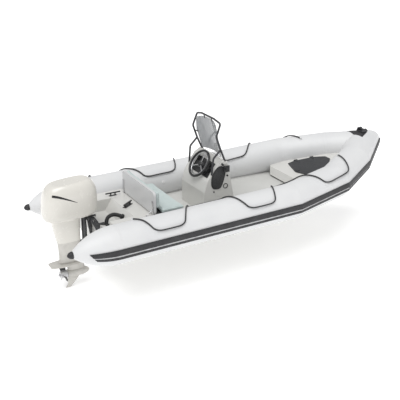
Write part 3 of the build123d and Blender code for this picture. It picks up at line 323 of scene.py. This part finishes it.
NODE_LOOKS = {
    "black_rubber": ["cone_caps", "rub_strake_upper", "rub_strake_lower", "bow_patch"],
    "grey_rubber": ["rub_strake_line"],
    "white_plastic": ["inflation_valves"],
    "black_plastic": ["seat_board", "stern_cleats", "instrument_panel", "control_box",
                      "console_fittings", "hatch_hinges", "wheel_grip", "helm_unit", "deck_glands",
                      "throttle_lever"],
    "gauge": ["gauges"],
    "gelcoat": ["transom_board", "hull_shell", "bow_locker", "console_shell", "seat_base", "stern_deck"],
    "backrest": ["backrest_shell"],
    "deck": ["deck"],
    "wood": ["hull_frames"],
    "lid": ["hatch_lid"],
    "steel": ["bow_eye", "transom_fittings", "seat_hinges", "backrest_arms", "tilt_tube",
              "steering_ram", "propeller_shaft", "wheel_spokes"],
    "rail": ["windscreen_rail", "bow_fairlead"],
    "acrylic": ["windscreen"],
    "tank": ["fuel_tank"],
    "bracket": ["clamp_brackets", "swivel_bracket", "steering_yoke", "powerhead"],
    "cowl": ["cowl_top", "cowl_pan", "leg_apron"],
    "leg": ["midsection", "gearcase"],
    "propeller": ["propeller"],
    "fabric": ["collar_baffles", "lifeline_patches"],
}


def dress_nodes():
    """Give every carried-over CAD node its material."""
    for look, names in NODE_LOOKS.items():
        for name in names:
            node = NODES[name]
            node.data.materials.clear()
            node.data.materials.append(LOOKS[look].material)


# ---------------------------------------------------------------- mesh helpers
def new_piece(name, verts, faces, look, smooth=True):
    mesh = bpy.data.meshes.new(name)
    mesh.from_pydata([tuple(v) for v in verts], [], faces)
    mesh.materials.append(LOOKS[look].material)
    mesh.validate()
    if smooth:
        mesh.shade_smooth()
    piece = bpy.data.objects.new(name, mesh)
    bpy.context.collection.objects.link(piece)
    return piece


def grid_faces(rows, columns, closed=True):
    """Quads between rings of equally many points."""
    faces = []
    wrap = columns if closed else columns - 1
    for row in range(rows - 1):
        for column in range(wrap):
            after = (column + 1) % columns
            faces.append((row * columns + column, row * columns + after,
                          (row + 1) * columns + after, (row + 1) * columns + column))
    return faces


def mirror_copy(piece, name):
    """The port twin of a starboard piece."""
    mesh = piece.data.copy()
    mesh.transform(Matrix.Scale(-1, 4, (1, 0, 0)))
    mesh.flip_normals()
    twin = bpy.data.objects.new(name, mesh)
    bpy.context.collection.objects.link(twin)
    return twin


def spline_points(points, closed=False, resolution=16):
    """Points read from a smooth NURBS line through a given route."""
    curve = bpy.data.curves.new("route", "CURVE")
    curve.dimensions = "3D"
    spline = curve.splines.new("NURBS")
    spline.points.add(len(points) - 1)
    for point, place in zip(spline.points, points):
        point.co = (*place, 1)
    spline.order_u = 3
    spline.use_endpoint_u = not closed
    spline.use_cyclic_u = closed
    spline.resolution_u = resolution
    holder = bpy.data.objects.new("route", curve)
    bpy.context.collection.objects.link(holder)
    mesh = bpy.data.meshes.new_from_object(holder)
    line = [vertex.co.copy() for vertex in mesh.vertices]
    bpy.data.objects.remove(holder)
    bpy.data.curves.remove(curve)
    bpy.data.meshes.remove(mesh)
    return line


def even_points(line, step):
    """The same line with points at an even step."""
    total = sum((b - a).length for a, b in zip(line, line[1:]))
    count = max(int(total / step), 2)
    step = total / count
    result, travelled, target = [line[0]], 0.0, step
    for a, b in zip(line, line[1:]):
        length = (b - a).length
        while length and travelled + length >= target - 1e-9 and len(result) < count:
            result.append(a.lerp(b, (target - travelled) / length))
            target += step
        travelled += length
    result.append(line[-1])
    return result


def swept(name, line, radius_at, sides, look, closed=False):
    """A tube along a line, its radius a function of distance and angle."""
    verts = []
    normal = None
    travelled = 0.0
    count = len(line)
    for place, point in enumerate(line):
        ahead = line[(place + 1) % count] if closed or place + 1 < count else point
        behind = line[place - 1] if closed or place else point
        tangent = (ahead - behind).normalized()
        if normal is None:
            normal = tangent.orthogonal().normalized()
        normal = (normal - tangent * normal.dot(tangent)).normalized()
        side = tangent.cross(normal)
        for step in range(sides):
            angle = 2 * math.pi * step / sides
            radius = radius_at(travelled, angle)
            verts.append(point + normal * (radius * math.cos(angle)) + side * (radius * math.sin(angle)))
        if place + 1 < count:
            travelled += (line[place + 1] - point).length
    faces = grid_faces(count, sides)
    if closed:
        last = (count - 1) * sides
        faces += [(last + i, last + (i + 1) % sides, (i + 1) % sides, i) for i in range(sides)]
    else:
        faces.append(tuple(reversed(range(sides))))
        faces.append(tuple(range((count - 1) * sides, count * sides)))
    return new_piece(name, verts, faces, look)


# ---------------------------------------------------------------- collar
def station(index):
    half, y, z = STATIONS[index]
    return Vector((-half, y, z))


def along(index):
    return (station(index + 1) - station(index)).normalized()


def mitre_normal(index):
    if index == len(STATIONS) - 1:
        return Vector((1, 0, 0))
    if index == 0:
        return along(0)
    return (along(index - 1) + along(index)).normalized()


def spoke(index, angle):
    """A unit vector square to a gore, at an angle above its outboard side."""
    outboard = along(index).cross(Vector((0, 0, 1))).normalized()
    up = outboard.cross(along(index)).normalized()
    return outboard * math.cos(angle) + up * math.sin(angle)


def on_mitre(index, at, angle, radius, back=0.0):
    """Where a line on gore index meets the mitre at a station, or stops short of it."""
    offset = spoke(index, angle) * radius
    direction, normal = along(index), mitre_normal(at)
    reach = -offset.dot(normal) / direction.dot(normal)
    return station(at) + offset + direction * (reach + back)


SIDES = 96
PUCKER_REACH = 0.045
PUCKER_DEPTH = 0.0011
PUCKER_EDGE = 0.008
CONE_ROWS = 28
# Where the rings of a gore lie, from its mitre to its middle.
RINGS_AFT = [0, 0.004, 0.01, 0.018, 0.03, 0.05, 0.08, 0.12, 0.2, 0.3, 0.4, 0.5]
RINGS_BOW = [0, 0.01, 0.022, 0.036, 0.055, 0.08, 0.11, 0.15, 0.2, 0.28, 0.38, 0.5]


def pucker_fade(distance):
    """Puckers are deepest just off a seam and die away from it."""
    return math.exp(-distance / PUCKER_REACH) * (1 - math.exp(-distance / PUCKER_EDGE))


def gore_mesh(index):
    """One panel of the tube, with faint puckers where it is welded at its mitres."""
    starts = [on_mitre(index, index, 2 * math.pi * s / SIDES, TUBE_R) for s in range(SIDES)]
    ends = [on_mitre(index, index + 1, 2 * math.pi * s / SIDES, TUBE_R) for s in range(SIDES)]
    half = RINGS_BOW if index else RINGS_AFT
    fractions = half + [1 - f for f in reversed(half[:-1])]
    verts = []
    for fraction in fractions:
        for s in range(SIDES):
            angle = 2 * math.pi * s / SIDES
            length = (ends[s] - starts[s]).length
            near = min(fraction, 1 - fraction) * length
            ripple = math.sin(angle * 19 + index) * 0.6 + math.sin(angle * 31 + 2 * index) * 0.4
            lift = PUCKER_DEPTH * pucker_fade(near) * ripple
            verts.append(starts[s].lerp(ends[s], fraction) + spoke(index, angle) * lift)
    return verts, grid_faces(len(fractions), SIDES)


def cone_radius(distance):
    drop = TUBE_R - CONE_END_R
    sweep_r = (CONE_LENGTH**2 + drop**2) / (2 * drop)
    return TUBE_R - (sweep_r - math.sqrt(sweep_r**2 - distance**2))


def cone_mesh():
    """The tapering stern end of the tube, from its tip to the first station."""
    verts = []
    for row in range(CONE_ROWS + 1):
        distance = CONE_LENGTH * (1 - row / CONE_ROWS)
        for s in range(SIDES):
            angle = 2 * math.pi * s / SIDES
            ripple = math.sin(angle * 23) * PUCKER_DEPTH * pucker_fade(distance)
            radius = cone_radius(distance) + ripple
            verts.append(station(0) - along(0) * distance + spoke(0, angle) * radius)
    return verts, grid_faces(CONE_ROWS + 1, SIDES)


def joined(parts):
    """Several vertex and face lists as one."""
    verts, faces = [], []
    for part_verts, part_faces in parts:
        base = len(verts)
        verts += part_verts
        faces += [tuple(base + i for i in face) for face in part_faces]
    return verts, faces


def welded(piece, distance=0.0002):
    """The piece with its doubled points merged and its faces turned outwards."""
    bm = bmesh.new()
    bm.from_mesh(piece.data)
    bmesh.ops.remove_doubles(bm, verts=bm.verts, dist=distance)
    bmesh.ops.recalc_face_normals(bm, faces=bm.faces)
    bm.to_mesh(piece.data)
    bm.free()
    return piece


TAPE_HALF = 0.019
TAPE_LIFT = 0.0011
TAPE_BEVEL = 0.002
TAPE_CORE = 0.006


def tape_mesh(at):
    """A welded tape over the mitre at a station, with thin edges."""
    before, after = max(at - 1, 0), min(at, len(STATIONS) - 2)
    rows = [(before, -TAPE_HALF, 0.0), (before, -TAPE_HALF + TAPE_BEVEL, TAPE_LIFT),
            (before, -TAPE_CORE, TAPE_LIFT), (after, TAPE_CORE, TAPE_LIFT),
            (after, TAPE_HALF - TAPE_BEVEL, TAPE_LIFT), (after, TAPE_HALF, 0.0)]
    if at == len(STATIONS) - 1:
        rows = rows[:3] + [(before, 0.0, TAPE_LIFT)]
    verts = []
    for index, back, lift in rows:
        for s in range(SIDES):
            angle = 2 * math.pi * s / SIDES
            verts.append(on_mitre(index, at, angle, TUBE_R + lift, back))
    return verts, grid_faces(len(rows), SIDES)


def collar():
    """The starboard half of the collar and its seam tapes, and their port twins."""
    aft = welded(new_piece("tube_aft_starboard", *joined([cone_mesh(), gore_mesh(0)]), "fabric"))
    bow = welded(new_piece("tube_bow_starboard", *joined([gore_mesh(i) for i in (1, 2, 3)]), "fabric"))
    tapes = new_piece("seam_tapes_starboard", *joined([tape_mesh(i) for i in range(5)]), "fabric")
    welded(tapes, 0.0)
    for piece, nodes in ((aft, ("collar_aft_starboard", "collar_aft_port")),
                         (bow, ("collar_bow_starboard", "collar_bow_port"))):
        twin = mirror_copy(piece, piece.name.replace("starboard", "port"))
        for part, node in ((piece, nodes[0]), (twin, nodes[1])):
            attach(part, "hull")
            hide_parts(node)
    for part in (tapes, mirror_copy(tapes, "seam_tapes_port")):
        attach(part, "hull")


def rope_route():
    """The listed stops of the starboard lifeline, as points off the tube."""
    straight = abs(along(0).y)
    stops = [(0, (STATIONS[0][1] - y) / straight, angle) for y, angle in ROPE_AFT] + ROPE_BOW
    pads = PADS_AFT + [len(ROPE_AFT) + i for i in PADS_BOW]
    points = []
    for place, (index, distance, angle) in enumerate(stops):
        lift = ROPE_LOW if place in pads else ROPE_HIGH
        points.append(station(index) + along(index) * distance
                      + spoke(index, math.radians(angle)) * (TUBE_R + lift))
    return points


def lifelines():
    """Braided rope: its surface rises and falls where the strands cross."""
    def braid(distance, angle):
        phase = 2 * math.pi * distance / BRAID_PITCH
        weave = math.sin(BRAID_TURNS * angle + phase) * math.sin(BRAID_TURNS * angle - phase)
        return ROPE_R * (0.95 + 0.06 * weave)

    line = even_points(spline_points(rope_route()), 0.0035)
    rope = swept("rope_starboard", line, braid, 16, "rope")
    twin = mirror_copy(rope, "rope_port")
    for part in (rope, twin):
        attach(part, "hull")
    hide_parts("lifelines")


# ---------------------------------------------------------------- cushions
CUSHION_CORNER = 0.026
CUSHION_VOXEL = 0.0065
CUSHION_PRESSURE = 3.5
CUSHION_SWELL = 0.016
CUSHION_STEPS = 20
PIPING_R = 0.0035
PIPING_INSET = 0.004
PIPING_DROP = 0.012
PIPING_STEP = 0.008
SEAT_CORNER = 0.040
BACK_CORNER = 0.045
# How much smaller than its space each cushion starts, because it swells.
CUSHION_SHRINK = {
    "seat_cushion": (0.012, 0.012, 0.016),
    "backrest_cushion": (0.012, 0.016, 0.012),
}


def soft_block(name, low, high, shrink):
    """A block with rounded corners, a little smaller than the space it fills."""
    bm = bmesh.new()
    bmesh.ops.create_cube(bm, size=1.0)
    middle = (low + high) / 2
    size = high - low - Vector(shrink)
    for vertex in bm.verts:
        vertex.co = Vector(c * s for c, s in zip(vertex.co, size)) + middle
    mesh = bpy.data.meshes.new(name)
    bm.to_mesh(mesh)
    bm.free()
    mesh.materials.append(LOOKS["vinyl"].material)
    piece = bpy.data.objects.new(name, mesh)
    bpy.context.collection.objects.link(piece)
    bevel = piece.modifiers.new("round", "BEVEL")
    bevel.width = CUSHION_CORNER
    bevel.segments = 5
    remesh = piece.modifiers.new("remesh", "REMESH")
    remesh.mode = "VOXEL"
    remesh.voxel_size = CUSHION_VOXEL
    apply_all(piece)
    return piece


def apply_all(piece):
    """Make what the modifiers show the piece's own mesh."""
    depsgraph = bpy.context.evaluated_depsgraph_get()
    mesh = bpy.data.meshes.new_from_object(piece.evaluated_get(depsgraph))
    piece.modifiers.clear()
    piece.data = mesh


def inflate(piece, low, high):
    """Swell the piece as stuffed cloth, held inside the space it may fill."""
    rest = [vertex.co.copy() for vertex in piece.data.vertices]
    cloth = piece.modifiers.new("cloth", "CLOTH")
    cloth.settings.use_pressure = True
    cloth.settings.uniform_pressure_force = CUSHION_PRESSURE
    cloth.settings.effector_weights.gravity = 0.0
    cloth.settings.tension_stiffness = 30
    cloth.settings.bending_stiffness = 2
    cloth.point_cache.frame_start = 1
    cloth.point_cache.frame_end = CUSHION_STEPS
    for step in range(1, CUSHION_STEPS + 1):
        bpy.context.scene.frame_set(step)
    apply_all(piece)
    bpy.context.scene.frame_set(1)
    for vertex, start in zip(piece.data.vertices, rest):
        move = vertex.co - start
        if move.length > CUSHION_SWELL:
            move *= CUSHION_SWELL / move.length
        place = start + move
        vertex.co = Vector(min(max(c, a), b) for c, a, b in zip(place, low, high))


def piping(name, piece, outline):
    """A sewn cord round a cushion, laid on its surface."""
    line = []
    for point in outline:
        hit, place, normal, _ = piece.closest_point_on_mesh(point)
        line.append(place + normal * (PIPING_R * 0.35) if hit else point)
    line = even_points(spline_points(line, closed=True, resolution=4), PIPING_STEP)
    cord = swept(name, line[:-1], lambda distance, angle: PIPING_R, 10, "piping", closed=True)
    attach(cord, "seat")


def rounded_outline(half_u, half_v, corner, count=8):
    """Corner points of a rounded rectangle, in its own plane."""
    points = []
    for quadrant in range(4):
        u_sign = 1 if quadrant in (0, 3) else -1
        v_sign = 1 if quadrant in (0, 1) else -1
        for step in range(count + 1):
            angle = math.pi / 2 * (quadrant + step / count)
            points.append((u_sign * (half_u - corner) + corner * math.cos(angle),
                           v_sign * (half_v - corner) + corner * math.sin(angle)))
    result = []
    for a, b in zip(points, points[1:] + points[:1]):
        steps = max(int(math.dist(a, b) / 0.03), 1)
        result += [(a[0] + (b[0] - a[0]) * i / steps, a[1] + (b[1] - a[1]) * i / steps)
                   for i in range(steps)]
    return result


def cushions():
    for node, shrink in CUSHION_SHRINK.items():
        low, high = (Vector(c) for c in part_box(node))
        piece = soft_block(node + "_pad", low, high, shrink)
        inflate(piece, low, high)
        smooth = piece.modifiers.new("smooth", "SUBSURF")
        smooth.levels = smooth.render_levels = 1
        apply_all(piece)
        piece.data.shade_smooth()
        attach(piece, "seat")
        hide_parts(node)
        middle, half = (low + high) / 2, (high - low) / 2
        if node == "seat_cushion":
            plan = rounded_outline(half.x - PIPING_INSET, half.y - PIPING_INSET, SEAT_CORNER)
            outline = [Vector((middle.x + u, middle.y + v, high.z - PIPING_DROP)) for u, v in plan]
        else:
            plan = rounded_outline(half.x - PIPING_INSET, half.z - PIPING_INSET, BACK_CORNER)
            outline = [Vector((middle.x + u, low.y + PIPING_DROP, middle.z + v)) for u, v in plan]
        piping(node + "_piping", piece, outline)


# ---------------------------------------------------------------- hoses
HOSE_X = -0.120
HOSE_R = 0.0230
RIB_HEIGHT = 0.0018
RIB_PITCH = 0.010
CABLE_X = -0.254
CABLE_R = 0.0078
# The sloping face in front of the well: where its top edge is, how far it falls and runs.
SLOPE_TOP = (1.090, 0.618)
SLOPE_FALL = 0.148
SLOPE_RUN = 0.100


def bridge_point(x, height, out):
    """A point off the sloping face of the bridge, as far out as given."""
    slope_y = SLOPE_TOP[0] + (SLOPE_TOP[1] - height) * SLOPE_RUN / SLOPE_FALL
    normal = Vector((0, SLOPE_FALL, SLOPE_RUN)).normalized()
    return Vector((x, slope_y, height)) + normal * out


def hoses():
    route = [bridge_point(HOSE_X, 0.540, 0.014), bridge_point(HOSE_X, 0.540, 0.066),
             Vector((HOSE_X, 1.275, 0.604)), Vector((HOSE_X, 1.360, 0.568)),
             Vector((HOSE_X, 1.360, 0.484))]
    line = even_points(spline_points(route), 0.0015)

    def ribs(distance, angle):
        return HOSE_R + RIB_HEIGHT * math.sin(2 * math.pi * distance / RIB_PITCH)

    hose = swept("rigging_hose", line, ribs, 28, "cable")
    route = [bridge_point(CABLE_X, 0.545, 0.016), bridge_point(CABLE_X, 0.545, 0.050),
             Vector((CABLE_X - 0.008, 1.330, 0.548)), Vector((CABLE_X - 0.006, 1.440, 0.552)),
             Vector((CABLE_X + 0.008, 1.505, 0.575)), Vector((-0.215, 1.535, 0.600)),
             Vector((-0.173, 1.535, 0.600))]
    cable = swept("steering_cable", even_points(spline_points(route), 0.006),
                  lambda distance, angle: CABLE_R, 16, "cable")
    for part in (hose, cable):
        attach(part, "hull")
    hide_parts("control_cables")


# ---------------------------------------------------------------- side pocket
POCKET_OUTLINE = [
    (-0.020, 0.742), (0.008, 0.790), (0.006, 0.900), (-0.040, 0.985), (-0.120, 1.040),
    (-0.196, 0.985), (-0.196, 0.925), (-0.140, 0.742), (-0.080, 0.728),
]
POCKET_RINGS = 12
POCKET_BULGE = 0.021
POCKET_EDGE = 0.003
HEM_R = 0.004
HEM_OUT = 0.0045


def side_pocket():
    """A net pouch with a bound edge, fuller at the bottom."""
    low, high = (Vector(c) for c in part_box("side_pocket"))
    rim = spline_points([Vector((0, y, z)) for y, z in POCKET_OUTLINE], closed=True, resolution=8)
    middle = sum(rim, Vector()) / len(rim)
    verts = []
    for ring in range(POCKET_RINGS + 1):
        share = ring / POCKET_RINGS
        for point in rim:
            place = middle.lerp(point, share)
            bulge = (1 - share**3) * (0.55 + 0.45 * (high.z - place.z) / (high.z - low.z))
            sag = 0.0012 * math.sin(place.y * 130) * math.sin(place.z * 110) * (1 - share)
            out = high.x - POCKET_EDGE - POCKET_BULGE * bulge + sag
            verts.append(Vector((out, place.y, place.z)))
    faces = grid_faces(POCKET_RINGS + 1, len(rim))
    back = len(verts)
    verts += [Vector((high.x, point.y, point.z)) for point in rim]
    last = POCKET_RINGS * len(rim)
    for i in range(len(rim)):
        after = (i + 1) % len(rim)
        faces.append((last + i, last + after, back + after, back + i))
    faces.append(tuple(range(back, back + len(rim))))
    pouch = welded(new_piece("net_pocket", verts, faces, "net"), 0.00001)
    hem = swept("pocket_hem", [p + Vector((high.x - HEM_OUT, 0, 0)) for p in rim],
                lambda distance, angle: HEM_R, 8, "black_plastic", closed=True)
    for part in (pouch, hem):
        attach(part, "hull")
    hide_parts("side_pocket")


# ---------------------------------------------------------------- engine graphics
FLASH_LENGTH = 0.33
FLASH_FALL = 0.14
FLASH_HALF = 0.020
FLASH_DOWN = 0.085
FLASH_AFT = 0.045
FLASH_TIP = 0.0006
FLASH_OUT = 0.0009
FLASH_IN = -0.0012
FLASH_ROWS = 36
FLASH_COLUMNS = 9


def cowl_flash(side, name):
    """A plain tapered stripe on the side of the cowl, laid on its surface."""
    rows, columns = FLASH_ROWS, FLASH_COLUMNS
    _, high = (Vector(c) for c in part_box("cowl_top"))
    mesh = NODES["cowl_top"].data
    tree = BVHTree.FromPolygons([v.co for v in mesh.vertices], [p.vertices for p in mesh.polygons])
    outer, inner = [], []
    for row in range(rows):
        share = row / (rows - 1)
        half = FLASH_HALF * (1 - share) ** 0.75 + FLASH_TIP
        middle = high.z - FLASH_DOWN - FLASH_FALL * share ** 1.25
        y = high.y - FLASH_AFT - FLASH_LENGTH * share
        for column in range(columns):
            z = middle + half * (2 * column / (columns - 1) - 1)
            place, normal, _, _ = tree.find_nearest(Vector((side * high.x, y, z)))
            outer.append(place + normal * FLASH_OUT)
            inner.append(place + normal * FLASH_IN)
    count = rows * columns
    front = grid_faces(rows, columns, closed=False)
    faces = front + [tuple(count + i for i in reversed(face)) for face in front]
    rim = list(range(columns)) + [row * columns + columns - 1 for row in range(1, rows)]
    rim += [(rows - 1) * columns + column for column in reversed(range(columns - 1))]
    rim += [row * columns for row in reversed(range(1, rows - 1))]
    for a, b in zip(rim, rim[1:] + rim[:1]):
        faces.append((b, a, count + a, count + b))
    piece = welded(new_piece(name, outer + inner, faces, "graphic"), 0.0)
    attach(piece, "engine")


# ---------------------------------------------------------------- stage
def stage():
    """A white floor, an even sky and two soft suns."""
    bpy.ops.mesh.primitive_plane_add(size=FLOOR_SIZE, location=(0, 0, FLOOR_Z))
    floor = bpy.context.object
    floor.name = "floor"
    look = Look("floor", (0.95, 0.95, 0.95), 0.9, Emission_Color=(1, 1, 1, 1),
                Emission_Strength=FLOOR_GLOW)
    floor.data.materials.append(look.material)
    world = bpy.data.worlds.new("studio")
    world.use_nodes = True
    world.node_tree.nodes["Background"].inputs["Color"].default_value = (1, 1, 1, 1)
    world.node_tree.nodes["Background"].inputs["Strength"].default_value = WORLD_LIGHT
    scene = bpy.context.scene
    scene.world = world
    scene.view_settings.view_transform = "Standard"
    for name, towards, strength, softness in SUNS:
        light = bpy.data.lights.new(name, "SUN")
        light.energy = strength
        light.angle = math.radians(softness)
        holder = bpy.data.objects.new(name, light)
        holder.rotation_euler = Vector(towards).to_track_quat("-Z", "Y").to_euler()
        bpy.context.collection.objects.link(holder)


def camera():
    """Stands off the starboard quarter and looks down at amidships."""
    data = bpy.data.cameras.new("camera")
    data.lens = CAMERA_LENS
    data.sensor_width = 36
    holder = bpy.data.objects.new("camera", data)
    holder.location = CAMERA_PLACE
    facing = Vector(CAMERA_AIM) - Vector(CAMERA_PLACE)
    holder.rotation_euler = facing.to_track_quat("-Z", "Y").to_euler()
    bpy.context.collection.objects.link(holder)
    bpy.context.scene.camera = holder


camera()
stage()
dress_nodes()
collar()
lifelines()
cushions()
hoses()
side_pocket()
cowl_flash(-1, "cowl_flash_starboard")
cowl_flash(1, "cowl_flash_port")
